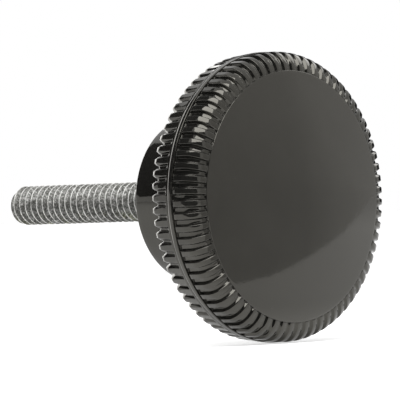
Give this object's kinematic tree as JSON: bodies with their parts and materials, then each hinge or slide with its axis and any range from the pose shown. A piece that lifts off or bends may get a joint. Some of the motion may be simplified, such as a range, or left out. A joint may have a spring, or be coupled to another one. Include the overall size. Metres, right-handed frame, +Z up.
{
  "type": "knurled knob",
  "caption": "Round black clamping knob with a fluted rim, a crowned face and a back boss, moulded on a long threaded steel stud.",
  "frame": {"origin": "centre of the boss end, where the knob seats on what it clamps", "axes": "+Y along the knob's axis from the seat to the stud's tip, so the crowned face looks toward -Y; +Z up, +X to the right seen from the face"},
  "size_m": [0.0444, 0.0609, 0.0444],
  "materials": {
    "black_plastic": "glossy black compression-moulded thermoset",
    "zinc_steel": "zinc-plated steel, satin, with a rolled thread"
  },
  "bodies": {
    "root": {"knob_head": "black_plastic", "threaded_stud": "zinc_steel"}
  },
  "joints": []
}
